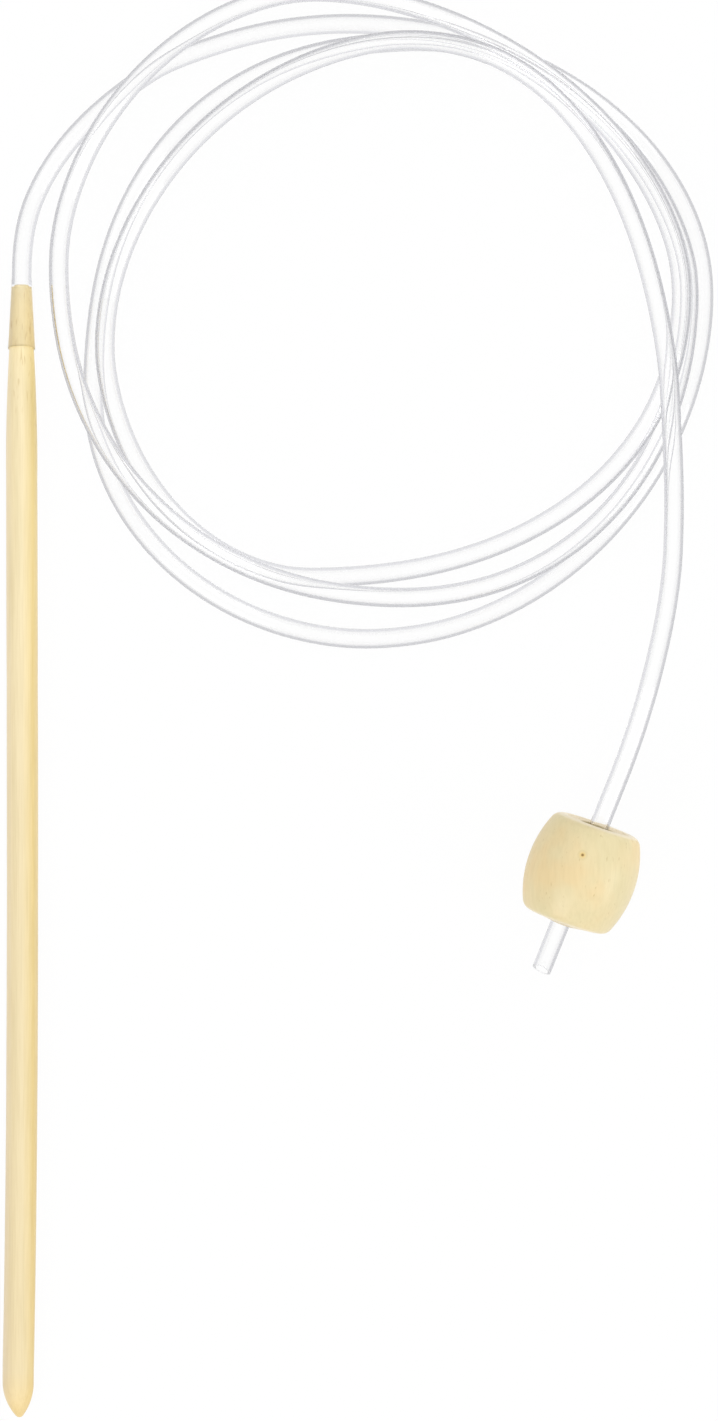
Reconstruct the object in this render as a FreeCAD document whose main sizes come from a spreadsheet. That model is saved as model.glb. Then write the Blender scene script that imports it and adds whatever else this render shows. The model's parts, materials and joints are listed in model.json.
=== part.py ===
import FreeCAD, Part
import math
import operator
import os

import Sketcher
from FreeCAD import Placement, Rotation, Vector

# A bamboo needle with one blunt point, a long clear tube that is stretched over
# the needle's tenon, and a wooden stopper bead on the tube.
#
# Millimetres and degrees.  +Z is up.  The needle lies on the surface, z = 0, with
# its axis along Y and its point at -Y.  The origin is on the surface under the
# middle of the needle.  The tube runs on from the tenon in +Y, lies coiled to the
# east (+X) of the needle, and ends beyond the bead.  Where the coil, the bead and
# the tube's route lie is measured from the end of the sleeve on the tenon: east of
# the needle's axis, and north of the sleeve.

SIZES = {
    # the needle
    "needle_diameter": 4.5,
    "needle_length": 162.0,
    "point_flank": 7.6,        # radius of the curved flank of the point
    "point_nose": 0.7,         # radius of its blunt end
    "shoulder_length": 17.0,   # long soft curve from the shaft down to the tenon
    "tenon_length": 9.1,
    "tenon_root": 3.5,         # diameter under the mouth of the tube
    "tenon_tip": 2.2,          # diameter at its end
    "tenon_round": 0.3,
    # the clear tube, and its end that is stretched over the tenon
    "tube_diameter": 2.8,
    "tube_bore": 1.9,
    "mouth_wall": 0.2,
    "neck_wall": 0.35,
    "neck_length": 1.5,        # beyond the tenon, back to the tube's own size
    # the stopper bead and its place on the tube
    "bead_diameter": 15.8,
    "bead_length": 14.5,
    "bead_face": 12.2,         # diameter of its flat ends, before they are rounded
    "bore_clearance": 1.2,     # the bore's diameter is the tube's and this
    "bead_round": 1.9,
    "bore_round": 0.4,
    "bead_east": 79.5,         # centre of the bead
    "bead_north": -85.6,
    "bead_bearing": 21.5,      # its bore's direction, clockwise from +Y
    "bead_tilt": 8.0,          # the coil's side of the bead is tipped up by this
    "bead_travel": 7.0,        # straight tube that the bead can slide up
    "free_end": 7.4,           # tube that stands out below the bead
    # the outer shape of the coil
    "coil_centre_east": 47.0,
    "coil_centre_north": -2.5,
    "coil_west": 43.0,         # reach from the centre, on each side
    "coil_north": 43.8,
    "coil_east": 51.9,
    "coil_south": 51.0,
    "band_west": 9.0,          # width of the turns, on each side
    "band_north": 9.8,
    "band_east": 10.3,
    "band_south": 11.6,
    "pile_west": 5.6,          # height of the pile of turns on its low side
    "pile_cover": 0.4,         # and, on its high side, above the tube that leaves it
    # the tube goes straight out of the sleeve for this much
    "straight_out": 5.8,
}

# The route of the tube where it isn't coiled: (east, north, height of its underside).
# Between the straight stretch at the sleeve and the coil:
LEAD_ROUTE = (
    (2.9, 13.9, 0.3),
    (8.8, 21.7, 0.05),
    (17.6, 28.7, 0.05),
)
# Between the top of the coil and the straight stretch that the bead is on:
TAIL_ROUTE = (
    (92.5, -22.5, 7.1),
    (92.9, -33.0, 7.6),
    (92.4, -46.0, 8.5),
)

# An arc of the route takes up this share of the shorter of its two runs.
ARC_SHARE = 0.45

OPERATIONS = {"+": operator.add, "-": operator.sub, "*": operator.mul, "/": operator.truediv}


class Length:
    """A number that also keeps its formula: a sketch is drawn with the first and bound to the second."""

    def __init__(self, number, formula=None):
        self.number = number
        self.formula = repr(number) if formula is None else formula

    def combined(self, sign, other):
        other = other if isinstance(other, Length) else Length(float(other))
        number = OPERATIONS[sign](self.number, other.number)
        return Length(number, f"({self.formula} {sign} {other.formula})")

    def __add__(self, other):
        return self.combined("+", other)

    def __sub__(self, other):
        return self.combined("-", other)

    def __mul__(self, other):
        return self.combined("*", other)

    def __truediv__(self, other):
        return self.combined("/", other)


ZERO = Length(0.0)


def root(length):
    return Length(math.sqrt(length.number), f"sqrt({length.formula})")


def fill_sheet(doc):
    sheet = doc.addObject("Spreadsheet::Sheet", "sizes")
    for row, (name, number) in enumerate(SIZES.items(), 1):
        sheet.set(f"A{row}", name)
        sheet.set(f"B{row}", str(number))
        sheet.setAlias(f"B{row}", name)
    doc.recompute()
    return sheet


def size(name):
    """A size of the sheet, as a number with its formula."""
    return Length(float(SHEET.get(name)), f"sizes.{name}")


def number(name):
    return size(name).number


# ---- sketches -----------------------------------------------------------------

def arc_between(start, end, radius):
    """The minor arc from start to end that has its centre on the left of that way."""
    chord = end - start
    middle = (start + end) * 0.5
    left = Vector(-chord.y, chord.x, 0).normalize()
    centre = middle + left * math.sqrt(radius ** 2 - chord.Length ** 2 / 4)
    first = math.atan2(start.y - centre.y, start.x - centre.x)
    last = math.atan2(end.y - centre.y, end.x - centre.x)
    return Part.ArcOfCircle(Part.Circle(centre, Vector(0, 0, 1), radius), first, last)


def pin_corner(sketch, edge, kind, axis, distance):
    """Hold the start of an edge on an axis, or at a distance from it that follows the sheet."""
    if distance is ZERO:
        sketch.addConstraint(Sketcher.Constraint("PointOnObject", edge, 1, axis))
        return
    row = sketch.addConstraint(Sketcher.Constraint(kind, -1, 1, edge, 1, distance.number))
    sketch.setExpression(f"Constraints[{row}]", distance.formula)


def outline_sketch(body, name, corners, radii):
    """A closed outline on the body's XY plane, counterclockwise through the corners.

    A corner is (distance from the axis of revolution, distance along it).  radii
    gives the radius of each edge that is an arc, by the number of its first corner.
    """
    plane = next(item for item in body.Origin.OriginFeatures if item.Role == "XY_Plane")
    sketch = body.newObject("Sketcher::SketchObject", name)
    sketch.AttachmentSupport = (plane, [""])
    sketch.MapMode = "FlatFace"
    points = [Vector(across.number, along.number, 0) for across, along in corners]
    count = len(corners)
    for edge in range(count):
        start, end = points[edge], points[(edge + 1) % count]
        if edge in radii:
            sketch.addGeometry(arc_between(start, end, radii[edge].number))
        else:
            sketch.addGeometry(Part.LineSegment(start, end))
    for edge in range(count):
        following = (edge + 1) % count
        sketch.addConstraint(Sketcher.Constraint("Coincident", edge, 2, following, 1))
    for edge, (across, along) in enumerate(corners):
        pin_corner(sketch, edge, "DistanceX", -2, across)
        pin_corner(sketch, edge, "DistanceY", -1, along)
    for edge, radius in radii.items():
        row = sketch.addConstraint(Sketcher.Constraint("Radius", edge, radius.number))
        sketch.setExpression(f"Constraints[{row}]", radius.formula)
    return sketch


def turned_body(doc, label, corners, radii):
    """A body that is turned about its own Y axis, as on a lathe."""
    body = doc.addObject("PartDesign::Body", label)
    body.Label = label
    sketch = outline_sketch(body, f"{label}_outline", corners, radii)
    turned = body.newObject("PartDesign::Revolution", f"{label}_turned")
    turned.Profile = sketch
    turned.ReferenceAxis = (sketch, ["V_Axis"])
    turned.Angle = 360.0
    sketch.Visibility = False
    doc.recompute()
    return body


def round_rims(doc, body, radius, levels, round_size):
    """Round the circular edges of one radius, at these levels along the body's axis."""
    base = body.Tip
    rims = []
    for row, edge in enumerate(base.Shape.Edges, 1):
        circle = not edge.Degenerated and isinstance(edge.Curve, Part.Circle)
        if circle and abs(edge.Curve.Radius - radius.number) < 1e-4:
            if any(abs(edge.Curve.Center.y - level.number) < 1e-4 for level in levels):
                rims.append(f"Edge{row}")
    fillet = body.newObject("PartDesign::Fillet", f"{body.Name}_{round_size}")
    fillet.Base = (base, rims)
    fillet.Radius = number(round_size)
    fillet.setExpression("Radius", f"sizes.{round_size}")
    doc.recompute()


# ---- the needle and the sleeve on its tenon -------------------------------------

def sleeve_end():
    """Where the tube leaves the sleeve, on the needle's axis."""
    north = number("needle_length") / 2 + number("neck_length")
    return Vector(0, north, number("needle_diameter") / 2)


def from_sleeve(east, north, height=0.0):
    """A place that is given east and north of the sleeve's end, and above the surface."""
    return Vector(east, sleeve_end().y + north, height)


def needle_shaft(doc):
    """Shaft, blunt point and tenon: one piece of bamboo.  Its own Y starts at the point."""
    radius = size("needle_diameter") / 2
    flank, nose = size("point_flank"), size("point_nose")
    length = size("needle_length")
    root_radius, tip_radius = size("tenon_root") / 2, size("tenon_tip") / 2
    # The nose, a ball, touches the flank's arc inside; the flank is tangent to the shaft.
    between = flank - nose
    across = flank - radius
    along = root(between * between - across * across)
    touch_radius = nose * across / between
    touch_height = nose - nose * along / between
    # The shoulder is an arc that starts tangent to the shaft.
    drop = radius - root_radius
    shoulder = size("shoulder_length")
    shoulder_radius = (shoulder * shoulder + drop * drop) / (drop * 2)
    tenon_start = length - size("tenon_length")
    corners = (
        (ZERO, ZERO),
        (touch_radius, touch_height),
        (radius, nose + along),
        (radius, tenon_start - shoulder),
        (root_radius, tenon_start),
        (tip_radius, length),
        (ZERO, length),
    )
    body = turned_body(doc, "needle_shaft", corners, {0: nose, 1: flank, 3: shoulder_radius})
    round_rims(doc, body, tip_radius, [length], "tenon_round")
    body.setExpression("Placement.Base.y", "-sizes.needle_length / 2")
    body.setExpression("Placement.Base.z", "sizes.needle_diameter / 2")
    return body


def cable_sleeve(doc):
    """The tube's own end, stretched over the tenon.  Its own Y starts at the tube's mouth."""
    mouth, tenon_end = size("tenon_root") / 2, size("tenon_tip") / 2
    length = size("tenon_length")
    neck = length + size("neck_length")
    corners = (
        (mouth, ZERO),
        (mouth + size("mouth_wall"), ZERO),
        (tenon_end + size("neck_wall"), length),
        (size("tube_diameter") / 2, neck),
        (size("tube_bore") / 2, neck),
        (tenon_end, length),
    )
    body = turned_body(doc, "cable_sleeve", corners, {})
    body.setExpression("Placement.Base.y", "sizes.needle_length / 2 - sizes.tenon_length")
    body.setExpression("Placement.Base.z", "sizes.needle_diameter / 2")
    return body


# ---- the bead -------------------------------------------------------------------

def bead_axis():
    """Unit vector along the bead's bore, from the free end of the tube to the coil."""
    bearing = math.radians(number("bead_bearing"))
    tilt = math.radians(number("bead_tilt"))
    level = Vector(math.sin(bearing), math.cos(bearing), 0)
    return level * math.cos(tilt) + Vector(0, 0, math.sin(tilt))


def belly_drop():
    """How much smaller the bead's radius is at its ends than at its belly."""
    return size("bead_diameter") / 2 - size("bead_face") / 2


def belly_radius():
    half, drop = size("bead_length") / 2, belly_drop()
    return (half * half + drop * drop) / (drop * 2)


def bead_centre():
    """The tipped barrel rests on its belly, so its centre is a little over its radius high."""
    belly, radius = belly_radius().number, number("bead_diameter") / 2
    height = belly - (belly - radius) * math.cos(math.radians(number("bead_tilt")))
    return from_sleeve(number("bead_east"), number("bead_north"), height)


def stopper_bead(doc):
    """A barrel with a straight bore.  Its own Y starts at the end face by the tube's free end."""
    bore = (size("tube_diameter") + size("bore_clearance")) / 2
    face = size("bead_face") / 2
    length = size("bead_length")
    corners = ((bore, ZERO), (face, ZERO), (face, length), (bore, length))
    body = turned_body(doc, "stopper_bead", corners, {1: belly_radius()})
    round_rims(doc, body, face, [ZERO, length], "bead_round")
    round_rims(doc, body, bore, [ZERO, length], "bore_round")
    turn = Rotation(Vector(0, 0, 1), -number("bead_bearing"))
    tip_up = Rotation(Vector(1, 0, 0), number("bead_tilt"))
    low_end = bead_centre() - bead_axis() * (number("bead_length") / 2)
    body.Placement = Placement(low_end, turn * tip_up)
    return body


# ---- the tube -------------------------------------------------------------------

def laid(route):
    """The points of a route, at the height of the tube's axis."""
    radius = number("tube_diameter") / 2
    return [from_sleeve(east, north, under + radius) for east, north, under in route]


def lead_points():
    start = sleeve_end()
    return [start, start + Vector(0, number("straight_out"), 0)] + laid(LEAD_ROUTE)


def tail_points():
    """The last run goes straight through the bead, and is long enough for its travel."""
    points = laid(TAIL_ROUTE)
    centre, axis = bead_centre(), bead_axis()
    half = number("bead_length") / 2
    straight = half + number("bead_travel")
    corner = centre + axis * straight
    for _ in range(3):
        arc_room = ARC_SHARE * (points[-1] - corner).Length
        corner = centre + axis * (straight + arc_room)
    return points + [corner, centre - axis * (half + number("free_end"))]


def tube_path(label, points):
    """Straight runs, joined at each corner by the largest tangent arc that they allow."""
    edges, radii = [], []
    start = points[0]
    for before, corner, after in zip(points, points[1:], points[2:]):
        arrive, leave = corner - before, after - corner
        half_turn = arrive.getAngle(leave) / 2
        room = ARC_SHARE * min(arrive.Length, leave.Length)
        radius = room / math.tan(half_turn)
        arrive.normalize()
        leave.normalize()
        inward = (leave - arrive).normalize()
        arc_start, arc_end = corner - arrive * room, corner + leave * room
        arc_middle = corner + inward * (radius / math.cos(half_turn) - radius)
        edges.append(Part.LineSegment(start, arc_start).toShape())
        edges.append(Part.Arc(arc_start, arc_middle, arc_end).toShape())
        radii.append(round(radius, 1))
        start = arc_end
    edges.append(Part.LineSegment(start, points[-1]).toShape())
    print(f"{label}: radii {radii} mm, {sum(edge.Length for edge in edges):.1f} mm long")
    return Part.Wire(edges)


def swept_rod(doc, label, path, diameter):
    """A round rod of a size in the sheet along a path that is a helper object."""
    start = path.Shape.Edges[0]
    circle = doc.addObject("Part::Circle", f"{label}_circle")
    circle.setExpression("Radius", f"sizes.{diameter} / 2")
    along = start.tangentAt(start.FirstParameter)
    circle.Placement = Placement(start.Vertexes[0].Point, Rotation(Vector(0, 0, 1), along))
    rod = doc.addObject("Part::Sweep", f"{label}_rod")
    rod.Sections = [circle]
    rod.Spine = (path, [f"Edge{row + 1}" for row in range(len(path.Shape.Edges))])
    rod.Solid = True
    return rod


def hollow_tube(doc, label, points):
    path = doc.addObject("Part::Feature", f"{label}_path")
    path.Shape = tube_path(label, points)
    tube = doc.addObject("Part::Cut", label)
    tube.Label = label
    tube.Base = swept_rod(doc, f"{label}_outside", path, "tube_diameter")
    tube.Tool = swept_rod(doc, f"{label}_bore", path, "tube_bore")
    doc.recompute()
    section = math.pi * (number("tube_diameter") ** 2 - number("tube_bore") ** 2) / 4
    share = tube.Shape.Volume / (section * path.Shape.Length)
    if abs(share - 1) > 0.01:
        raise RuntimeError(f"{label} has {share:.3f} of the volume of its section times its length")
    return tube


def oval(centre, west, north, east, south):
    """A closed outline of four quarter ellipses about one centre."""
    reaches = (Vector(-west, 0, 0), Vector(0, north, 0), Vector(east, 0, 0), Vector(0, -south, 0))
    quarters = []
    for one, other in zip(reaches, reaches[1:] + reaches[:1]):
        longer, shorter = (one, other) if one.Length >= other.Length else (other, one)
        ellipse = Part.Ellipse(centre + longer, centre + shorter, centre)
        quarters.append(ellipse.toShape(0, math.pi / 2))
    return Part.Wire(Part.__sortEdges__(quarters))


def cable_coil(doc):
    """The loose turns as one ring.  Its pile grows from the west side to the east side."""
    centre = from_sleeve(number("coil_centre_east"), number("coil_centre_north"))
    sides = ("west", "north", "east", "south")
    outside = [number(f"coil_{side}") for side in sides]
    inside = [reach - number(f"band_{side}") for side, reach in zip(sides, outside)]
    ring = Part.Face(oval(centre, *outside)).cut(Part.Face(oval(centre, *inside)))
    west, east = centre.x - outside[0], centre.x + outside[2]
    south, north = centre.y - outside[3], centre.y + outside[1]
    low = number("pile_west")
    high = TAIL_ROUTE[0][2] + number("tube_diameter") + number("pile_cover")
    side_view = [(west, 0), (east, 0), (east, high), (west, low), (west, 0)]
    pile = Part.Face(Part.makePolygon([Vector(x, south, z) for x, z in side_view]))
    pile = pile.extrude(Vector(0, north - south, 0))
    coil = doc.addObject("Part::Feature", "cable_coil")
    coil.Label = "cable_coil"
    coil.Shape = ring.extrude(Vector(0, 0, high)).common(pile)
    coil.Placement = Placement()
    return coil


# ---- the model --------------------------------------------------------------------

def check(doc, subparts):
    for item in doc.Objects:
        if "Invalid" in item.State or "Error" in item.State:
            raise RuntimeError(f"{item.Name} failed: {item.State}")
    for subpart in subparts:
        shape = subpart.Shape
        if shape.isNull() or not shape.isValid() or not shape.Solids:
            raise RuntimeError(f"{subpart.Label} has no valid solid")


def write(subparts):
    os.makedirs("parts", exist_ok=True)
    for subpart in subparts:
        subpart.Shape.exportStep(os.path.join("parts", f"{subpart.Label}.step"))
        box = subpart.Shape.optimalBoundingBox(False)
        print(f"{subpart.Label}: {subpart.Shape.Volume:.1f} mm3, {len(subpart.Shape.Solids)} solid,"
              f" x {box.XMin:.2f} {box.XMax:.2f}, y {box.YMin:.2f} {box.YMax:.2f},"
              f" z {box.ZMin:.2f} {box.ZMax:.2f}")


document = FreeCAD.newDocument("stopper_needle")
SHEET = fill_sheet(document)
SUBPARTS = [
    needle_shaft(document),
    cable_sleeve(document),
    hollow_tube(document, "cable_lead", lead_points()),
    cable_coil(document),
    hollow_tube(document, "cable_tail", tail_points()),
    stopper_bead(document),
]
document.recompute()
check(document, SUBPARTS)
write(SUBPARTS)
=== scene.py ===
"""Looks of a bamboo needle with a long clear tube and a wooden stopper bead.

Metres, +Z up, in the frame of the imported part: the needle lies along Y with its point
at -Y, on the floor at z = 0.  The tube leaves the needle in +Y, lies in loose turns
east (+X) of it, passes through the bead and ends in a plain cut.
"""
import math

import bmesh
import bpy
from mathutils import Matrix, Vector
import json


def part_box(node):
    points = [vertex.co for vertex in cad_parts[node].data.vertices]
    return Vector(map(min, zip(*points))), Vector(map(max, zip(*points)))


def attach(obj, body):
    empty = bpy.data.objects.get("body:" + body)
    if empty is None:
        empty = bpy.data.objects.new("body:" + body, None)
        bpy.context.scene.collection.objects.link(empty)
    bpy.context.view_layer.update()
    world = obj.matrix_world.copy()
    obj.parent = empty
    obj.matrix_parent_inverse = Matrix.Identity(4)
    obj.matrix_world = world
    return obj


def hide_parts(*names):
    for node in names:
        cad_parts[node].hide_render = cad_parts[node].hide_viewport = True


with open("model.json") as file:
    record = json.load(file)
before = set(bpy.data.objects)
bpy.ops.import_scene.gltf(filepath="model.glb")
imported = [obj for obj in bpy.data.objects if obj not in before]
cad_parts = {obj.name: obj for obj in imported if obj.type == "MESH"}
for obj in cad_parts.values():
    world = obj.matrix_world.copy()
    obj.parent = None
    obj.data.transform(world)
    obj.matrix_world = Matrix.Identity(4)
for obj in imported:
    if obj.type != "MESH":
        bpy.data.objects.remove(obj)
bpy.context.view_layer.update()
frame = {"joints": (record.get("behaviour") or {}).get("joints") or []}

MM = 0.001

# ---- what the frame says ---------------------------------------------------------

NEEDLE_LOW, NEEDLE_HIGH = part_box("needle_shaft")
SLEEVE_LOW, SLEEVE_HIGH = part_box("cable_sleeve")
BEAD_LOW, BEAD_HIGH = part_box("stopper_bead")
NEEDLE_RADIUS = (NEEDLE_HIGH.x - NEEDLE_LOW.x) / 2
NEEDLE_CENTRE = (NEEDLE_HIGH.x + NEEDLE_LOW.x) / 2
BEAD_CENTRE = (BEAD_LOW + BEAD_HIGH) / 2
BEAD_AXIS = Vector(frame["joints"][0]["axis"])
SLEEVE_END = Vector((NEEDLE_CENTRE, SLEEVE_HIGH.y, NEEDLE_RADIUS))

# ---- sizes that the frame doesn't give ---------------------------------------------

TUBE_RADIUS = 1.4 * MM
BORE_RADIUS = 0.95 * MM
BEAD_HALF = 7.25 * MM            # half the length of the bead
BEAD_RADIUS = 7.9 * MM           # where it is widest
BEAD_FACE_RADIUS = 6.15 * MM     # where the belly would meet the flat end if it had no rim
BEAD_BORE_RADIUS = 2.0 * MM
TENON_ROOT_RADIUS = 1.75 * MM
TENON_TIP_RADIUS = 1.1 * MM
TENON_ROUND = 0.3 * MM           # the tenon's end is rounded off by this much
SHOULDER_LENGTH = 17.0 * MM
POINT_FLANK = 7.6 * MM           # radius of the point's long arc
POINT_NOSE = 0.7 * MM            # radius of its round end
POINT_WEAR = 0.25 * MM           # sanded off the very end
MOUTH_WALL = 0.2 * MM            # of the stretched plastic, at its mouth
NECK_WALL = 0.35 * MM            # of the stretched plastic, at the end of the tenon
CLING = 0.02 * MM                # the plastic's inside is kept this far under the wood's skin
FREE_END = 7.4 * MM              # tube that stands out below the bead
BEAD_TRAVEL = 7.0 * MM           # straight tube above the bead
STRAIGHT_OUT = 5.8 * MM          # straight tube out of the sleeve
CUT_SLANT = math.radians(28)     # of the plain cut at the free end
MOUTH_SLANT = math.radians(10)   # of the mouth on the tenon
CUT_BLEND = 4.0 * MM             # the rings lean over to a cut along this much of the tube

# ---- the route of the tube -----------------------------------------------------------
# East of the needle's axis, north of the sleeve's end, height of the tube's underside.

LEAD_ROUTE = (
    (0.0029, 0.0139, 0.0003),
    (0.0088, 0.0217, 0.00005),
    (0.0176, 0.0287, 0.00005),
)
TAIL_ROUTE = (
    (0.0925, -0.0225, 0.0081),
    (0.0929, -0.0330, 0.0081),
    (0.0924, -0.0460, 0.0085),
)
# The loose turns, clockwise from the west: where each one reaches furthest west, north,
# east and south, and how full the quarter after it is (2 is a quarter of an ellipse).
# No quarter follows the last one.
REACHES = (
    (0.0000, -0.0001, 0.00005, 2.02),
    (0.0469, 0.0359, 0.00005, 1.96),
    (0.0975, -0.0027, 0.00005, 1.93),
    (0.0498, -0.0521, 0.00005, 1.98),
    (0.0102, -0.0170, 0.00005, 2.32),
    (0.0573, 0.0331, 0.0029, 1.75),
    (0.0952, -0.0024, 0.00285, 2.11),
    (0.0543, -0.0462, 0.0039, 2.12),
    (0.0054, 0.0008, 0.0037, 1.85),
    (0.0421, 0.0398, 0.0056, 1.79),
    (0.0940, -0.0027, 0.0063, 2.17),
    (0.0412, -0.0433, 0.00005, 1.92),
    (0.0120, -0.0098, 0.0029, 1.87),
    (0.0555, 0.0326, 0.0077, 2.21),
    (0.0927, -0.0296, 0.0081),
)
POINTS_A_QUARTER = 6
LEAD_COVERS = 4              # points of the first quarter that the lead stands for
CORNER_SHARE = 0.45          # of its leg's length: how far above the straight the bend's corner is
CORNER_ROUNDS = 3            # of moving the corner, until its leg's length has settled


def laid(east, north, under):
    """A point of the tube's axis."""
    return Vector((east, SLEEVE_END.y + north, under + TUBE_RADIUS))


def turn_points():
    """The loose turns, a quarter at a time, each from one reach to the next."""
    step = math.pi / 2 / POINTS_A_QUARTER
    # The spline runs inside its points by a share of their distance from the middle.
    swell = 1 + (1 - math.cos(step)) / 4
    points = []
    for quarter, (start, end) in enumerate(zip(REACHES, REACHES[1:])):
        upright = quarter % 2 == 0       # starts at a west or an east reach
        middle_east, middle_north = (end[0], start[1]) if upright else (start[0], end[1])
        power = 2 / start[3]
        for number in range(POINTS_A_QUARTER):
            ahead = math.sin(number * step) ** power
            behind = math.cos(number * step) ** power
            east_share, north_share = (behind, ahead) if upright else (ahead, behind)
            east_end, north_end = (start, end) if upright else (end, start)
            east = middle_east + (east_end[0] - middle_east) * east_share * swell
            north = middle_north + (north_end[1] - middle_north) * north_share * swell
            under = start[2] + (end[2] - start[2]) * number / POINTS_A_QUARTER
            points.append(laid(east, north, under))
    return points[LEAD_COVERS:]


def tail_points():
    """Off the turns, and straight through the bead to the free end."""
    points = [laid(*point) for point in TAIL_ROUTE]
    straight = BEAD_HALF + BEAD_TRAVEL
    corner = BEAD_CENTRE + BEAD_AXIS * straight
    for _ in range(CORNER_ROUNDS):
        leg = (points[-1] - corner).length
        corner = BEAD_CENTRE + BEAD_AXIS * (straight + CORNER_SHARE * leg)
    other_leg_end = corner - BEAD_AXIS * (points[-1] - corner).length
    free_end = BEAD_CENTRE - BEAD_AXIS * (BEAD_HALF + FREE_END)
    return points + [corner, other_leg_end, free_end]


def cable_points():
    """The whole tube after its sleeve."""
    lead = [SLEEVE_END, SLEEVE_END + Vector((0, STRAIGHT_OUT, 0))]
    lead += [laid(*point) for point in LEAD_ROUTE]
    return lead + turn_points() + tail_points()


# ---- camera ---------------------------------------------------------------------------

VIEW_HEIGHT = 203 * MM       # what the frame of the picture covers, at the needle
VIEW_CENTRE = (48.2 * MM, 20.2 * MM)
CAMERA_HEIGHT = 800 * MM
CLIP_NEAR = 0.01
CLIP_FAR = 20


def add_camera():
    """A camera that looks straight down on the floor."""
    data = bpy.data.cameras.new("camera")
    data.sensor_fit = "VERTICAL"
    data.lens = data.sensor_height * (CAMERA_HEIGHT - NEEDLE_RADIUS) / VIEW_HEIGHT
    data.clip_start = CLIP_NEAR
    data.clip_end = CLIP_FAR
    camera = bpy.data.objects.new("camera", data)
    camera.location = (*VIEW_CENTRE, CAMERA_HEIGHT)
    bpy.context.scene.collection.objects.link(camera)
    bpy.context.scene.camera = camera


add_camera()

# ---- the tube -------------------------------------------------------------------------

SIDES = 28                   # of the tube's section
POINTS_A_SPAN = 8            # read from each span of the spline
SLEEVE_RINGS = 24
NECK_RINGS = 8               # from the tenon's end to the plain tube
SHARP_EDGE = math.radians(40)    # the rims of the tube's ends are sharper than this
OUTSIDE, BORE, OVER_TENON, FREE_CUT, MOUTH_CUT = range(5)      # the tube's materials


def smooth_line(points):
    """The points that a NURBS spline gives between these points, read from a bare curve."""
    curve = bpy.data.curves.new("route", "CURVE")
    curve.dimensions = "3D"
    spline = curve.splines.new("NURBS")
    spline.points.add(len(points) - 1)
    for place, point in zip(spline.points, points):
        place.co = (*point, 1)
    spline.order_u = 3
    spline.use_endpoint_u = True
    spline.resolution_u = POINTS_A_SPAN
    bare = bpy.data.objects.new("route", curve)
    mesh = bpy.data.meshes.new_from_object(bare)
    line = [vertex.co.copy() for vertex in mesh.vertices]
    bpy.data.meshes.remove(mesh)
    bpy.data.objects.remove(bare)
    bpy.data.curves.remove(curve)
    return line


def mix(low, high, share):
    """The number that lies this share of the way from low to high."""
    return low + (high - low) * share


def spread(low, high, count):
    """Evenly spaced numbers from low up to, but not at, high."""
    return [mix(low, high, number / count) for number in range(count)]


def sleeve_stations():
    """(place, outer radius, inner radius) along the stretched end, from its mouth."""
    mouth, tenon_end, neck_end = SLEEVE_LOW.y, NEEDLE_HIGH.y, SLEEVE_HIGH.y
    stations = []
    for share in spread(0, 1, SLEEVE_RINGS):
        wood = mix(TENON_ROOT_RADIUS, TENON_TIP_RADIUS, share)
        outer = wood + mix(MOUTH_WALL, NECK_WALL, share)
        stations.append((mix(mouth, tenon_end, share), outer, wood - CLING))
    for share in spread(0, 1, NECK_RINGS):
        ease = share * share * (3 - 2 * share)
        outer = mix(TENON_TIP_RADIUS + NECK_WALL, TUBE_RADIUS, ease)
        inner = mix(TENON_TIP_RADIUS - CLING, BORE_RADIUS, ease)
        stations.append((mix(tenon_end, neck_end, share), outer, inner))
    return [(Vector((NEEDLE_CENTRE, along, NEEDLE_RADIUS)), outer, inner)
            for along, outer, inner in stations]


def ring_frames(line):
    """An across and an up direction at each point that don't twist along the line."""
    up = Vector((0, 0, 1))
    frames = []
    for before, after in zip([line[0]] + line[:-1], line[1:] + [line[-1]]):
        along = (after - before).normalized()
        up = (up - along * up.dot(along)).normalized()
        frames.append((along, along.cross(up), up))
    return frames


def new_object(name, vertices, faces, smooth=True):
    """A mesh object, in the scene."""
    mesh = bpy.data.meshes.new(name)
    mesh.from_pydata(vertices, [], faces)
    mesh.validate()
    if smooth:
        mesh.shade_smooth()
    made = bpy.data.objects.new(name, mesh)
    bpy.context.scene.collection.objects.link(made)
    return made


def lean(slant, distance):
    """How much a ring leans, this far from a cut end of the tube."""
    return math.tan(slant) * max(0, 1 - distance / CUT_BLEND)


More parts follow.
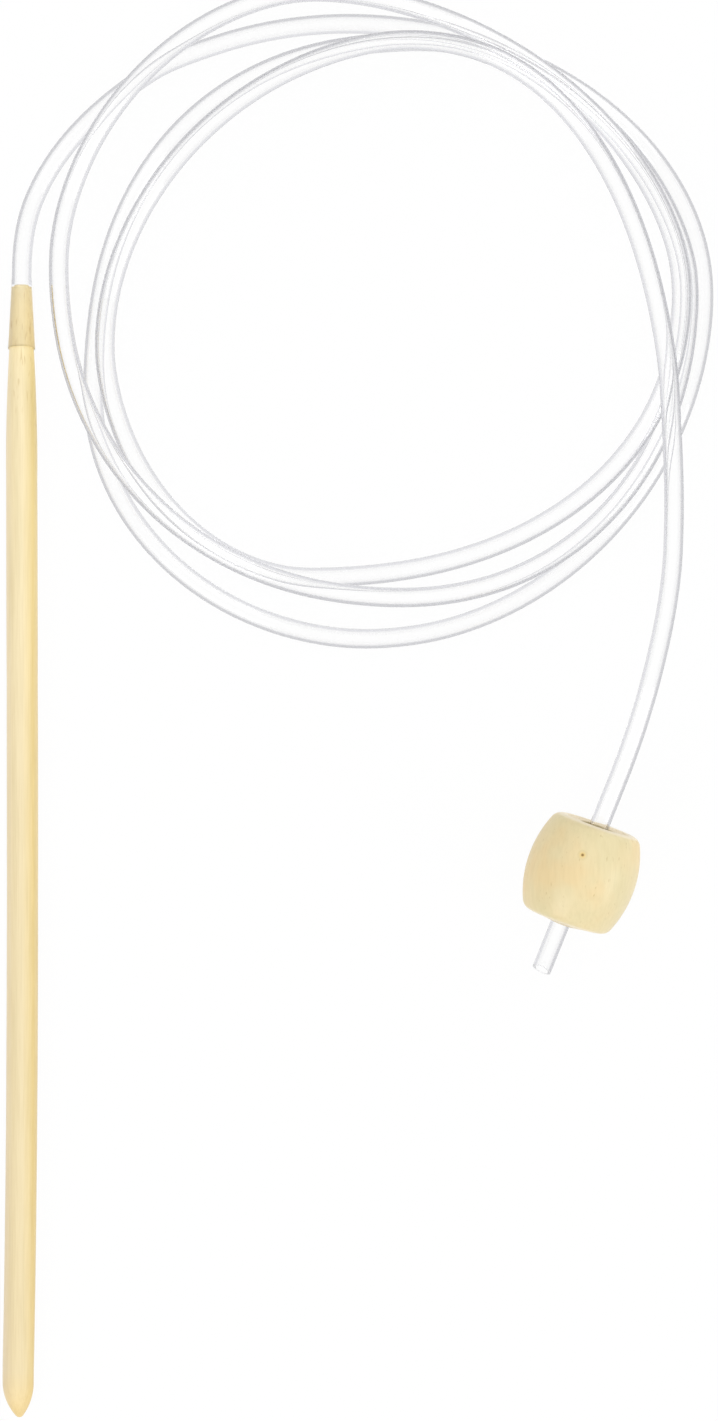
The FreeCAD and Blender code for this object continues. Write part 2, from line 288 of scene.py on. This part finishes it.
def add_cable():
    """One clear hollow tube, from its mouth on the tenon to its cut end."""
    route = smooth_line(cable_points())
    stations = sleeve_stations()
    stations += [(point, TUBE_RADIUS, BORE_RADIUS) for point in route]
    line = [place for place, _, _ in stations]
    vertices = []
    for (place, outer, inner), (along, across, up) in zip(stations, ring_frames(line)):
        leaning = (lean(MOUTH_SLANT, (place - line[0]).length)
                   - lean(CUT_SLANT, (place - line[-1]).length))
        for radius in (outer, inner):
            for side in range(SIDES):
                angle = 2 * math.pi * side / SIDES
                reach = across * math.cos(angle) + up * math.sin(angle)
                slant = along * (leaning * math.sin(angle))
                vertices.append(place + (reach + slant) * radius)
    count = len(stations)

    def corner(ring, wall, side):
        """The number of a point; wall is 0 outside and 1 in the bore."""
        return (ring * 2 + wall) * SIDES + side % SIDES

    def strip(ring_a, wall_a, ring_b, wall_b):
        """The faces between two rings of points, their fronts away from the plastic."""
        return [(corner(ring_a, wall_a, side + 1), corner(ring_a, wall_a, side),
                 corner(ring_b, wall_b, side), corner(ring_b, wall_b, side + 1))
                for side in range(SIDES)]

    outside, inside = [], []
    for ring in range(count - 1):
        outside += strip(ring, 0, ring + 1, 0)
        inside += strip(ring + 1, 1, ring, 1)
    ends = strip(0, 1, 0, 0) + strip(count - 1, 0, count - 1, 1)
    cable = new_object("clear_cable", vertices, outside + ends + inside)
    cable.data.set_sharp_from_angle(angle=SHARP_EDGE)
    over_tenon = SLEEVE_RINGS * SIDES
    materials = [OVER_TENON] * over_tenon + [OUTSIDE] * (len(outside) - over_tenon)
    materials += [MOUTH_CUT] * SIDES + [FREE_CUT] * SIDES + [BORE] * len(inside)
    for face, material in zip(cable.data.polygons, materials):
        face.material_index = material
    return cable, line


def line_length(line):
    """The length of the way from point to point."""
    return sum((after - before).length for before, after in zip(line, line[1:]))


cable, cable_line = add_cable()
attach(cable, "needle")
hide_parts("cable_sleeve", "cable_lead", "cable_coil", "cable_tail")
print("cable length", round(line_length(cable_line), 4))

# ---- the needle ---------------------------------------------------------------------------

NEEDLE_SIDES = 72
NOSE_RINGS = 8
FLANK_RINGS = 24
SHAFT_RINGS = 150
SHOULDER_RINGS = 24
TENON_RINGS = 12
ROUND_RINGS = 5
BOW_START = 71.7 * MM        # the shaft is straight from its tenon to here
BOW_EAST = 0.07157           # how it bows from here on: east by the square of the distance,
BOW_WEST = 0.648             # and back west by its cube
NOSE_EAST = 0.35 * MM        # the point is cut a little off centre
# The shaft is a little uneven along its length and not quite round.
WAVES = ((0.004, 190, 0), (0.003, 433, 1))      # share of the radius, rate per metre, start
OVAL_SHARE = 0.006
OVAL_TURN = 0.8


def arc_fall(radius, along):
    """How far an arc falls away, this far along from where it runs level."""
    return radius - math.sqrt(radius * radius - along * along)


def needle_outline():
    """(place along Y, radius), from the point to the end of the tenon."""
    tip, end = NEEDLE_LOW.y + POINT_WEAR, NEEDLE_HIGH.y
    between, across = POINT_FLANK - POINT_NOSE, POINT_FLANK - NEEDLE_RADIUS
    along = math.sqrt(between * between - across * across)
    touch = POINT_NOSE - POINT_NOSE * along / between
    flank_end = tip + POINT_NOSE + along
    tenon = SLEEVE_LOW.y
    shoulder = tenon - SHOULDER_LENGTH
    drop = NEEDLE_RADIUS - TENON_ROOT_RADIUS
    shoulder_arc = (SHOULDER_LENGTH * SHOULDER_LENGTH + drop * drop) / (2 * drop)
    outline = []
    # The nose's arc runs over into the flank's, and that one into the straight shaft.
    for height in spread(0, 1, NOSE_RINGS):
        back = POINT_NOSE - touch * height * height
        outline.append((tip + touch * height * height,
                        math.sqrt(max(0, POINT_NOSE * POINT_NOSE - back * back))))
    for place in spread(tip + touch, flank_end, FLANK_RINGS):
        fall = arc_fall(POINT_FLANK, flank_end - place)
        outline.append((place, NEEDLE_RADIUS - fall))
    outline += [(place, NEEDLE_RADIUS)
                for place in spread(flank_end, shoulder, SHAFT_RINGS)]
    for place in spread(shoulder, tenon, SHOULDER_RINGS):
        outline.append((place, NEEDLE_RADIUS - arc_fall(shoulder_arc, place - shoulder)))
    round_start = end - TENON_ROUND
    for place in spread(tenon, round_start, TENON_RINGS):
        share = (place - tenon) / (end - tenon)
        outline.append((place, mix(TENON_ROOT_RADIUS, TENON_TIP_RADIUS, share)))
    flat = TENON_TIP_RADIUS - TENON_ROUND
    for angle in spread(0, math.pi / 2, ROUND_RINGS):
        outline.append((round_start + TENON_ROUND * math.sin(angle),
                        flat + TENON_ROUND * math.cos(angle)))
    return outline + [(end, flat), (end, 0.0)]


def needle_bow(place):
    """How far the shaft's axis lies from the tenon's: no split cane is quite straight."""
    back = max(0, BOW_START - place)
    into_point = max(0, 1 + (NEEDLE_LOW.y - place) / POINT_FLANK)
    return BOW_EAST * back * back - BOW_WEST * back ** 3 + NOSE_EAST * into_point ** 2


def add_needle():
    """One stick, from its point to the end of its tenon, never thicker than its outline."""
    vertices, rings = [], needle_outline()
    for place, radius in rings:
        uneven = place < BOW_START - SHOULDER_LENGTH
        wave = sum(size * math.sin(place * rate + start) for size, rate, start in WAVES)
        if uneven:
            radius *= 1 + min(wave, 0)
        for side in range(NEEDLE_SIDES):
            angle = 2 * math.pi * side / NEEDLE_SIDES
            oval = max(0, math.cos(2 * angle + OVAL_TURN)) if uneven else 0
            reach = radius * (1 - OVAL_SHARE * oval)
            vertices.append((NEEDLE_CENTRE + needle_bow(place) + reach * math.cos(angle),
                             place, NEEDLE_RADIUS + reach * math.sin(angle)))
    return lathe("bamboo_needle", vertices, len(rings), NEEDLE_SIDES, closed=False)


# ---- the bead -----------------------------------------------------------------------------

BEAD_SIDES = 120
BELLY_RINGS = 44
RIM_RINGS = 8
FACE_RINGS = 5
BORE_RINGS = 10
MOUTH_RINGS = 5
RIM_ROUND = 1.6 * MM
BORE_ROUND = 0.4 * MM
# The barrel isn't quite true to its bore, which is on the joint's axis.
BARREL_TURN = math.radians(2.5)      # the barrel is turned this far west of the bore,
BARREL_TIP = math.radians(-4.5)      # tipped this far below it,
BARREL_ASIDE = 0.12 * MM             # and its middle lies this far east of the bore's
BARREL_AHEAD = 0.35 * MM             # and this far further up the tube
ASIDE = Vector((BEAD_AXIS.y, -BEAD_AXIS.x, 0)).normalized()
BARREL_CENTRE = BEAD_CENTRE + ASIDE * BARREL_ASIDE + BEAD_AXIS * BARREL_AHEAD
BARREL_AXIS = (Matrix.Rotation(BARREL_TIP, 3, ASIDE)
               @ Matrix.Rotation(BARREL_TURN, 3, "Z") @ BEAD_AXIS)
# Nor is it quite round: two waves run about it, of which the second is smaller and turns
# from ring to ring.
BARREL_UNEVEN = 0.02 * MM
FIRST_START = 0.7
SECOND_SHARE = 0.6
SECOND_TURN = 300                    # radians for each metre along the bead
SAME_PLACE = 1e-7                    # points that are nearer than this are made one
WOOD, END_GRAIN = range(2)           # the bead's materials


def bead_outline():
    """(place along the axis, radius) of the barrel and its rims, from low face to high."""
    drop = BEAD_RADIUS - BEAD_FACE_RADIUS
    belly = (BEAD_HALF * BEAD_HALF + drop * drop) / (2 * drop)
    # A rim is an arc that touches both the flat end and, from inside, the belly's arc.
    inner = BEAD_HALF - RIM_ROUND
    between = belly - RIM_ROUND
    rim_radius = BEAD_RADIUS - belly + math.sqrt(between * between - inner * inner)
    touch = math.asin(inner / between)
    belly_part = []
    for number in range(BELLY_RINGS + 1):
        angle = mix(-touch, touch, number / BELLY_RINGS)
        belly_part.append((belly * math.sin(angle),
                           BEAD_RADIUS - belly + belly * math.cos(angle)))
    rim_part = []
    for angle in spread(math.pi / 2, touch, RIM_RINGS):
        rim_part.append((inner + RIM_ROUND * math.sin(angle),
                         rim_radius + RIM_ROUND * math.cos(angle)))
    low_rim = [(-place, radius) for place, radius in rim_part]
    return low_rim + belly_part + rim_part[::-1]


def bead_bore():
    """(place along the axis, radius) of the bore, with its two rounded mouths."""
    mouth = []
    for angle in spread(0, math.pi / 2, MOUTH_RINGS):
        mouth.append((BEAD_HALF - BORE_ROUND * (1 - math.cos(angle)),
                      BEAD_BORE_RADIUS + BORE_ROUND * (1 - math.sin(angle))))
    length = BEAD_HALF - BORE_ROUND
    straight = [(mix(length, -length, number / BORE_RINGS), BEAD_BORE_RADIUS)
                for number in range(BORE_RINGS + 1)]
    return mouth + straight + [(-place, radius) for place, radius in mouth[::-1]]


def bead_ring(centre, axis, place, radius, uneven=0.0):
    """A ring of points about an axis, nowhere outside its radius."""
    east = Vector((axis.y, -axis.x, 0)).normalized()
    up = east.cross(axis)
    points = []
    for side in range(BEAD_SIDES):
        angle = 2 * math.pi * side / BEAD_SIDES
        first = math.sin(2 * angle + FIRST_START)
        second = math.sin(3 * angle + place * SECOND_TURN)
        waves = first - 1 + SECOND_SHARE * (second - 1)
        reach = radius + uneven * waves
        points.append(centre + axis * place
                      + east * (math.cos(angle) * reach) + up * (math.sin(angle) * reach))
    return points


def lathe(name, vertices, rings, sides, closed):
    """A skin over rings of points; closed joins the last ring to the first."""
    faces = []
    for ring in range(rings if closed else rings - 1):
        ahead = (ring + 1) % rings
        for side in range(sides):
            beside = (side + 1) % sides
            faces.append((ring * sides + side, ahead * sides + side,
                          ahead * sides + beside, ring * sides + beside))
    made = new_object(name, vertices, faces)
    tidy = bmesh.new()
    tidy.from_mesh(made.data)
    bmesh.ops.remove_doubles(tidy, verts=tidy.verts, dist=SAME_PLACE)
    bmesh.ops.recalc_face_normals(tidy, faces=tidy.faces)
    tidy.to_mesh(made.data)
    tidy.free()
    return made


def add_bead():
    """A barrel with a bore right through it, in one closed skin."""
    barrel = [bead_ring(BARREL_CENTRE, BARREL_AXIS, place, radius, BARREL_UNEVEN)
              for place, radius in bead_outline()]
    bore = [bead_ring(BEAD_CENTRE, BEAD_AXIS, place, radius)
            for place, radius in bead_bore()]

    def face(outer, inner):
        """The rings between a rim and a mouth of the bore."""
        return [[rim.lerp(hole, share) for rim, hole in zip(outer, inner)]
                for share in spread(0, 1, FACE_RINGS)[1:]]

    rings = barrel + face(barrel[-1], bore[0]) + bore + face(bore[-1], barrel[0])
    vertices = [point for ring in rings for point in ring]
    made = lathe("wooden_bead", vertices, len(rings), BEAD_SIDES, closed=True)
    for polygon in made.data.polygons:
        reach = (polygon.center - BARREL_CENTRE).dot(BARREL_AXIS)
        away = (polygon.center - BARREL_CENTRE - BARREL_AXIS * reach).length
        inside = away < BEAD_FACE_RADIUS - RIM_ROUND
        polygon.material_index = END_GRAIN if inside else WOOD
    return made


needle = add_needle()
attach(needle, "needle")
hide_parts("needle_shaft")
bead = add_bead()
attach(bead, "bead")
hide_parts("stopper_bead")

# ---- materials --------------------------------------------------------------------------


def srgb(red, green, blue):
    """A colour as it is seen, in 0 to 255, as the linear colour that a shader takes."""
    def linear(value):
        share = value / 255
        return share / 12.92 if share <= 0.04045 else ((share + 0.055) / 1.055) ** 2.4
    return (linear(red), linear(green), linear(blue), 1)


def grey(value):
    """A linear grey."""
    return (value, value, value, 1)


class Nodes:
    """Short calls that add and join the nodes of one material."""

    def __init__(self, name):
        self.material = bpy.data.materials.new(name)
        self.material.use_nodes = True
        self.tree = self.material.node_tree
        self.shader = self.tree.nodes["Principled BSDF"]
        self.output = self.tree.nodes["Material Output"]

    def fill(self, node, inputs):
        """Each input is joined, where a socket is given for it, or else set to the value."""
        for key, value in inputs.items():
            if isinstance(value, bpy.types.NodeSocket):
                self.tree.links.new(value, node.inputs[key])
            else:
                node.inputs[key].default_value = value

    def add(self, kind, inputs=None, **settings):
        """A new node with these settings and inputs."""
        node = self.tree.nodes.new(kind)
        for key, value in settings.items():
            setattr(node, key, value)
        self.fill(node, inputs or {})
        return node

    def place(self):
        """Where the shaded point is, in the shared frame."""
        return self.add("ShaderNodeTexCoord").outputs["Object"]

    def noise(self, scale, detail, roughness=0.55, turn=(0, 0, 0), shift=(0, 0, 0)):
        """Noise whose grain is finer where its scale, for each direction, is larger."""
        mapping = self.add("ShaderNodeMapping", {
            "Vector": self.place(),
            "Scale": scale,
            "Rotation": turn,
            "Location": shift,
        })
        node = self.add("ShaderNodeTexNoise", {
            "Vector": mapping.outputs["Vector"],
            "Scale": 1.0,
            "Detail": detail,
            "Roughness": roughness,
        })
        return node.outputs["Fac"]

    def number(self, operation, *values):
        """The result of a sum with numbers."""
        inputs = dict(enumerate(values))
        return self.add("ShaderNodeMath", inputs, operation=operation).outputs["Value"]

    def vector(self, operation, *values, output="Vector"):
        """The result of a sum with vectors, which for some sums is a number."""
        inputs = dict(enumerate(values))
        node = self.add("ShaderNodeVectorMath", inputs, operation=operation)
        return node.outputs[output]

    def share(self, value, low, high, to_low=0.0, to_high=1.0, kind="LINEAR"):
        """From to_low, where the value is low, to to_high, where it is high."""
        inputs = {"Value": value, "From Min": low, "From Max": high,
                  "To Min": to_low, "To Max": to_high}
        node = self.add("ShaderNodeMapRange", inputs, interpolation_type=kind)
        return node.outputs["Result"]

    def ramp(self, value, *stops):
        """A colour for each value, read between stops of (value, colour)."""
        node = self.add("ShaderNodeValToRGB", {"Fac": value})
        elements = node.color_ramp.elements
        while len(elements) < len(stops):
            elements.new(1.0)        # it gets its own position below
        for element, (position, colour) in zip(elements, stops):
            element.position = position
            element.color = colour
        return node.outputs["Color"]

    def blend(self, kind, share, first, second):
        """The first colour, changed by a share of the second."""
        inputs = {"Factor": share, "A": first, "B": second}
        node = self.add("ShaderNodeMix", inputs, data_type="RGBA", blend_type=kind)
        return node.outputs["Result"]

    def bump(self, height, strength, distance):
        """The normal of a surface with this relief."""
        inputs = {"Height": height, "Strength": strength, "Distance": distance}
        return self.add("ShaderNodeBump", inputs).outputs["Normal"]

    def mix_in(self, share, second):
        """The surface becomes a mix of the shader and a share of a second one."""
        first = self.shader.outputs["BSDF"]
        both = self.add("ShaderNodeMixShader", {0: share, 1: first, 2: second})
        self.fill(self.output, {"Surface": both.outputs["Shader"]})


PLASTIC_IOR = 1.46
TURNS_MIDDLE = (0.052, 0.076, 0)
ONE_TONE_FROM = 0.6          # a side that faces this much outward, or inward, has one tone of painted shade
BLUER = 1.07                 # blue of the painted edge shade's grey, against its red and green
SCUFF_ROUGHNESS = 0.02       # where the plastic is most scuffed
LAMP_SHARE = 0.985           # of a lamp's light that goes through to what the tube covers
FIBRE_DEPTH = 0.03 * MM      # of the relief of fibres and blade marks
PORE_DEPTH = 0.04 * MM       # of the relief of end grain


def painted_edge_shade(nodes, facing, tone):
    """Clear where the wall is seen square on, and this grey of painted shade towards its edges."""
    return nodes.ramp(
        facing,
        (0.10, grey(1.0)),
        (0.22, (mix(tone, 1, 0.7), mix(tone, 1, 0.7), mix(tone, 1, 0.73), 1)),
        (0.36, (tone, tone, tone * BLUER, 1)),
        (0.60, (tone, tone, tone * BLUER, 1)),
        (0.95, (mix(tone, 1, 0.3), mix(tone, 1, 0.3), mix(tone, 1, 0.35), 1)),
    )


def facing_outward(nodes):
    """How far the surface faces away from the middle of the turns, from 1 to -1."""
    from_middle = nodes.vector("SUBTRACT", nodes.place(), TURNS_MIDDLE)
    outward = nodes.vector("NORMALIZE", from_middle)
    surface = nodes.add("ShaderNodeNewGeometry")
    along = nodes.vector("DOT_PRODUCT", surface.outputs["Normal"], outward, output="Value")
    # From inside, the normal is given turned round, and Backfacing is 1.
    sign = nodes.number("MULTIPLY_ADD", surface.outputs["Backfacing"], -2, 1)
    return nodes.number("MULTIPLY", along, sign)


def clear_plastic(name, dark=None, light=None):
    """The tube.  Its outside has painted shade towards its edges:
    the dark grey on the outer side of each turn, and the light one on its inner side."""
    nodes = Nodes(name)
    colour = grey(1.0)
    if dark:
        facing = nodes.add("ShaderNodeLayerWeight", {"Blend": 0.5}).outputs["Facing"]
        painted_shades = [painted_edge_shade(nodes, facing, tone) for tone in (dark, light)]
        # The painted shade is darker on the outer side of each turn and lighter on its inner side.
        inner_side = nodes.share(facing_outward(nodes), ONE_TONE_FROM, -ONE_TONE_FROM)
        colour = nodes.blend("MIX", inner_side, *painted_shades)
    scuffs = nodes.noise((420, 420, 420), detail=4)
    nodes.fill(nodes.shader, {
        "Base Color": colour,
        "Roughness": nodes.share(scuffs, 0, 1, 0, SCUFF_ROUGHNESS),
        "IOR": PLASTIC_IOR,
        "Transmission Weight": 1.0,
    })
    passing = nodes.add("ShaderNodeBsdfTransparent", {"Color": grey(LAMP_SHARE)})
    path = nodes.add("ShaderNodeLightPath")
    nodes.mix_in(path.outputs["Is Shadow Ray"], passing.outputs["BSDF"])
    return nodes.material


def cut_plastic(name, dark, light):
    """A cut end of the tube: matt, with the marks of the blade."""
    nodes = Nodes(name)
    marks = nodes.noise((9000, 1200, 2500), detail=3)
    nodes.fill(nodes.shader, {
        "Base Color": nodes.ramp(marks, (0.30, dark), (0.62, light)),
        "Roughness": 0.5,
        "IOR": PLASTIC_IOR,
        "Transmission Weight": 0.35,
        "Normal": nodes.bump(marks, 0.3, FIBRE_DEPTH),
    })
    return nodes.material


CUTS_LENGTH = 12 * MM        # of the shoulder, next to the tube, has cut fibres
WARM_LENGTH = 7 * MM         # of the point is yellower


def bamboo():
    """The needle's split cane, with its fibres along Y."""
    nodes = Nodes("bamboo")
    split = nodes.add("ShaderNodeSeparateXYZ", {"Vector": nodes.place()})
    east, north = split.outputs["X"], split.outputs["Y"]
    # One side of the split cane is yellower than the other.
    colour = nodes.ramp(
        nodes.share(east, -NEEDLE_RADIUS, NEEDLE_RADIUS),
        (0.00, srgb(243, 226, 192)),
        (0.25, srgb(245, 228, 184)),
        (0.55, srgb(248, 232, 190)),
        (0.74, srgb(245, 225, 172)),
        (0.88, srgb(241, 217, 150)),
        (1.00, srgb(236, 214, 158)),
    )
    bands = nodes.noise((900, 55, 900), detail=3, roughness=0.5)
    broad = nodes.ramp(
        bands,
        (0.30, (0.93, 0.925, 0.89, 1)),
        (0.50, (0.98, 0.975, 0.96, 1)),
        (0.68, grey(1.0)),
    )
    colour = nodes.blend("MULTIPLY", 1.0, colour, broad)
    fibres = nodes.noise((5200, 120, 5200), detail=4)
    fine = nodes.ramp(fibres, (0.30, (0.90, 0.87, 0.80, 1)), (0.58, grey(1.0)))
    colour = nodes.blend("MULTIPLY", 0.6, colour, fine)
    # Cut fibres show as short dark lines where the cane is tapered.
    cuts = nodes.noise((3400, 420, 3400), detail=1, shift=(0.3, 0, 0.1))
    dark = nodes.ramp(cuts, (0.30, (0.86, 0.80, 0.68, 1)), (0.40, grey(1.0)))
    near_tube = nodes.share(north, SLEEVE_LOW.y - CUTS_LENGTH, SLEEVE_LOW.y)
    tapered = nodes.ramp(near_tube, (0.0, grey(0.0)), (0.7, grey(0.9)))
    colour = nodes.blend("MULTIPLY", tapered, colour, dark)
    # Painted shade makes the cane a little darker towards its point, and painted light makes it
    # pale where the tube covers it.
    length = nodes.ramp(
        nodes.share(north, NEEDLE_LOW.y, SLEEVE_HIGH.y),
        (0.0, (0.905, 0.885, 0.86, 1)),
        (0.25, (0.91, 0.895, 0.875, 1)),
        (0.55, (0.96, 0.95, 0.95, 1)),
        (0.80, grey(1.0)),
        (0.90, grey(1.0)),
        (0.945, (1.09, 1.09, 1.06, 1)),
    )
    colour = nodes.blend("MULTIPLY", 1.0, colour, length)
    near_point = nodes.share(north, NEEDLE_LOW.y + WARM_LENGTH, NEEDLE_LOW.y)
    warm = nodes.ramp(near_point, (0.0, grey(0.0)), (1.0, grey(0.85)))
    colour = nodes.blend("MULTIPLY", warm, colour, (1.06, 0.95, 0.68, 1))
    nodes.fill(nodes.shader, {
        "Base Color": colour,
        "Roughness": nodes.share(bands, 0, 1, 0.34, 0.50),
        "Normal": nodes.bump(fibres, 0.25, FIBRE_DEPTH),
    })
    return nodes.material


KNOT_OFFSET = Vector((0.10, 3.0, 7.7)) * MM    # of the pin knot, from the bead's middle
KNOT_REACH = 1.4 * MM        # of the knot and its ring
WEAR_AND_HIGHLIGHT_FROM = 0.40 * MM        # from the end of the bead, where the paler rim starts,
WEAR_AND_HIGHLIGHT_TO = 0.10 * MM          # and where it is palest
BORE_SHADE_FROM = 1.0 * MM      # out from the bore, where the darker edge starts,
BORE_SHADE_TO = 0.3 * MM        # and where it is darkest


def bead_wood():
    """The barrel, with its grain along the bore."""
    nodes = Nodes("bead_wood")
    grain_turn = (0, 0, math.atan2(BEAD_AXIS.x, BEAD_AXIS.y))
    patches = nodes.noise((170, 130, 170), detail=2, turn=grain_turn)
    colour = nodes.ramp(
        patches,
        (0.34, srgb(229, 215, 170)),
        (0.50, srgb(233, 216, 170)),
        (0.64, srgb(236, 213, 163)),
    )
    grain = nodes.noise((2400, 260, 2400), detail=4, turn=grain_turn)
    fine = nodes.ramp(grain, (0.30, (0.93, 0.92, 0.88, 1)), (0.60, grey(1.0)))
    colour = nodes.blend("MULTIPLY", 0.7, colour, fine)
    flecks = nodes.noise((2900, 900, 2900), detail=1, turn=grain_turn)
    dots = nodes.ramp(flecks, (0.22, (0.80, 0.75, 0.62, 1)), (0.30, grey(1.0)))
    colour = nodes.blend("MULTIPLY", 0.7, colour, dots)
    # The pin knot: a dark dot in a small warm ring.
    place = nodes.place()
    reach = nodes.vector("DISTANCE", place, BEAD_CENTRE + KNOT_OFFSET, output="Value")
    knot = nodes.ramp(
        nodes.share(reach, 0, KNOT_REACH),
        (0.10, (0.38, 0.28, 0.14, 1)),
        (0.17, (0.98, 0.86, 0.58, 1)),
        (0.30, (1.0, 0.95, 0.82, 1)),
        (0.44, (0.94, 0.93, 0.88, 1)),
        (0.60, grey(1.0)),
    )
    colour = nodes.blend("MULTIPLY", 1.0, colour, knot)
    # The rims are paler: partly wear, partly a painted highlight.
    from_middle = nodes.vector("SUBTRACT", place, BARREL_CENTRE)
    along = nodes.vector("DOT_PRODUCT", from_middle, BARREL_AXIS, output="Value")
    out = nodes.number("ABSOLUTE", along)
    wear_and_highlight = nodes.share(out, BEAD_HALF - WEAR_AND_HIGHLIGHT_FROM, BEAD_HALF - WEAR_AND_HIGHLIGHT_TO, 0, 0.75, "SMOOTHSTEP")
    colour = nodes.blend("MIX", wear_and_highlight, colour, srgb(244, 231, 203))
    nodes.fill(nodes.shader, {
        "Base Color": colour,
        "Roughness": nodes.share(patches, 0, 1, 0.30, 0.44),
        "Normal": nodes.bump(grain, 0.15, FIBRE_DEPTH),
    })
    return nodes.material


def end_grain():
    """The bead's flat ends and bore: paler, with the cut ends of the fibres."""
    nodes = Nodes("bead_end_grain")
    pores = nodes.noise((3600, 3600, 3600), detail=2)
    colour = nodes.ramp(
        pores,
        (0.30, srgb(206, 184, 136)),
        (0.42, srgb(234, 217, 182)),
        (0.70, srgb(241, 226, 196)),
    )
    # Painted shade darkens the bore and the end grain around its mouth.
    from_middle = nodes.vector("SUBTRACT", nodes.place(), BEAD_CENTRE)
    aside = nodes.vector("CROSS_PRODUCT", from_middle, BEAD_AXIS)
    out = nodes.vector("LENGTH", aside, output="Value")
    start, end = BEAD_BORE_RADIUS + BORE_SHADE_FROM, BEAD_BORE_RADIUS + BORE_SHADE_TO
    painted_bore_shade = nodes.share(out, start, end, kind="SMOOTHSTEP")
    colour = nodes.blend("MULTIPLY", painted_bore_shade, colour, (0.62, 0.58, 0.42, 1))
    nodes.fill(nodes.shader, {
        "Base Color": colour,
        "Roughness": 0.55,
        "Normal": nodes.bump(pores, 0.3, PORE_DEPTH),
    })
    return nodes.material


def paint(made, *materials):
    """The index of each face, if it has been set, says which of the materials it takes."""
    indices = [face.material_index for face in made.data.polygons]
    made.data.materials.clear()
    for material in materials:
        made.data.materials.append(material)
    for face, index in zip(made.data.polygons, indices):
        face.material_index = index


# dark and light are the greys of painted shade at the edges of the tube and of its sleeve.
paint(cable, clear_plastic("clear_plastic", dark=0.44, light=0.62),
      clear_plastic("clear_plastic_bore"),
      clear_plastic("clear_plastic_sleeve", dark=0.88, light=0.94),
      cut_plastic("clear_plastic_cut", (0.80, 0.80, 0.82, 1), (0.95, 0.95, 0.96, 1)),
      cut_plastic("clear_plastic_mouth", srgb(222, 210, 166), srgb(236, 224, 184)))
paint(needle, bamboo())
paint(bead, bead_wood(), end_grain())

# ---- floor and light -----------------------------------------------------------------------

FLOOR_HALF = 3.0
FLOOR_GREY = 0.92
FLOOR_ROUGHNESS = 0.9
FLOOR_WHITE = 0.96           # share of the floor that is plain white where it is seen
HORIZON_GREY = 0.42
PALE_FROM = 0.7              # height in the sky above which it is white
BOUNCES = 40                 # light crosses many walls where the turns lie on each other


def floor_material():
    """Matt for the light that falls on it, and nearly plain white where it is seen."""
    nodes = Nodes("floor")
    nodes.fill(nodes.shader, {"Base Color": grey(FLOOR_GREY), "Roughness": FLOOR_ROUGHNESS})
    ray = nodes.add("ShaderNodeLightPath")
    seen = nodes.number("MAXIMUM", ray.outputs["Is Camera Ray"], ray.outputs["Is Glossy Ray"])
    seen = nodes.number("MAXIMUM", seen, ray.outputs["Is Transmission Ray"])
    white = nodes.number("MULTIPLY", seen, FLOOR_WHITE)
    nodes.mix_in(white, nodes.add("ShaderNodeEmission").outputs["Emission"])
    return nodes.material


def add_floor():
    """The surface that the part lies on, as a stage and not as a piece of it."""
    signs = ((-1, -1), (1, -1), (1, 1), (-1, 1))
    corners = [(east * FLOOR_HALF, north * FLOOR_HALF, 0) for east, north in signs]
    floor = new_object("floor", corners, [(0, 1, 2, 3)], smooth=False)
    floor.data.materials.append(floor_material())


def add_world():
    """A pale sky that is a little darker towards the horizon."""
    world = bpy.data.worlds.new("world")
    world.use_nodes = True
    bpy.context.scene.world = world
    tree = world.node_tree
    background = tree.nodes["Background"]
    where = tree.nodes.new("ShaderNodeTexCoord")
    split = tree.nodes.new("ShaderNodeSeparateXYZ")
    ramp = tree.nodes.new("ShaderNodeValToRGB")
    horizon, overhead = ramp.color_ramp.elements
    horizon.position = 0.0
    horizon.color = grey(HORIZON_GREY)
    overhead.position = PALE_FROM
    overhead.color = grey(1.0)
    tree.links.new(where.outputs["Generated"], split.inputs["Vector"])
    tree.links.new(split.outputs["Z"], ramp.inputs["Fac"])
    tree.links.new(ramp.outputs["Color"], background.inputs["Color"])
    background.inputs["Strength"].default_value = 1.0


def add_softbox(name, place, size, watts):
    """A square lamp that faces the middle of the object."""
    data = bpy.data.lights.new(name, "AREA")
    data.size = size
    data.energy = watts
    lamp = bpy.data.objects.new(name, data)
    lamp.location = place
    aim = Vector((*VIEW_CENTRE, 0)) - Vector(place)
    lamp.rotation_euler = aim.to_track_quat("-Z", "Y").to_euler()
    bpy.context.scene.collection.objects.link(lamp)


add_floor()
add_world()
add_softbox("right_softbox", place=(0.80, -0.30, 0.38), size=0.34, watts=1.2)
add_softbox("left_softbox", place=(-0.35, -0.50, 0.55), size=0.34, watts=1.2)
add_softbox("far_softbox", place=(0.60, 0.85, 0.22), size=0.50, watts=1.6)

scene = bpy.context.scene
scene.view_settings.view_transform = "Standard"
scene.cycles.max_bounces = BOUNCES
scene.cycles.transmission_bounces = BOUNCES

import json
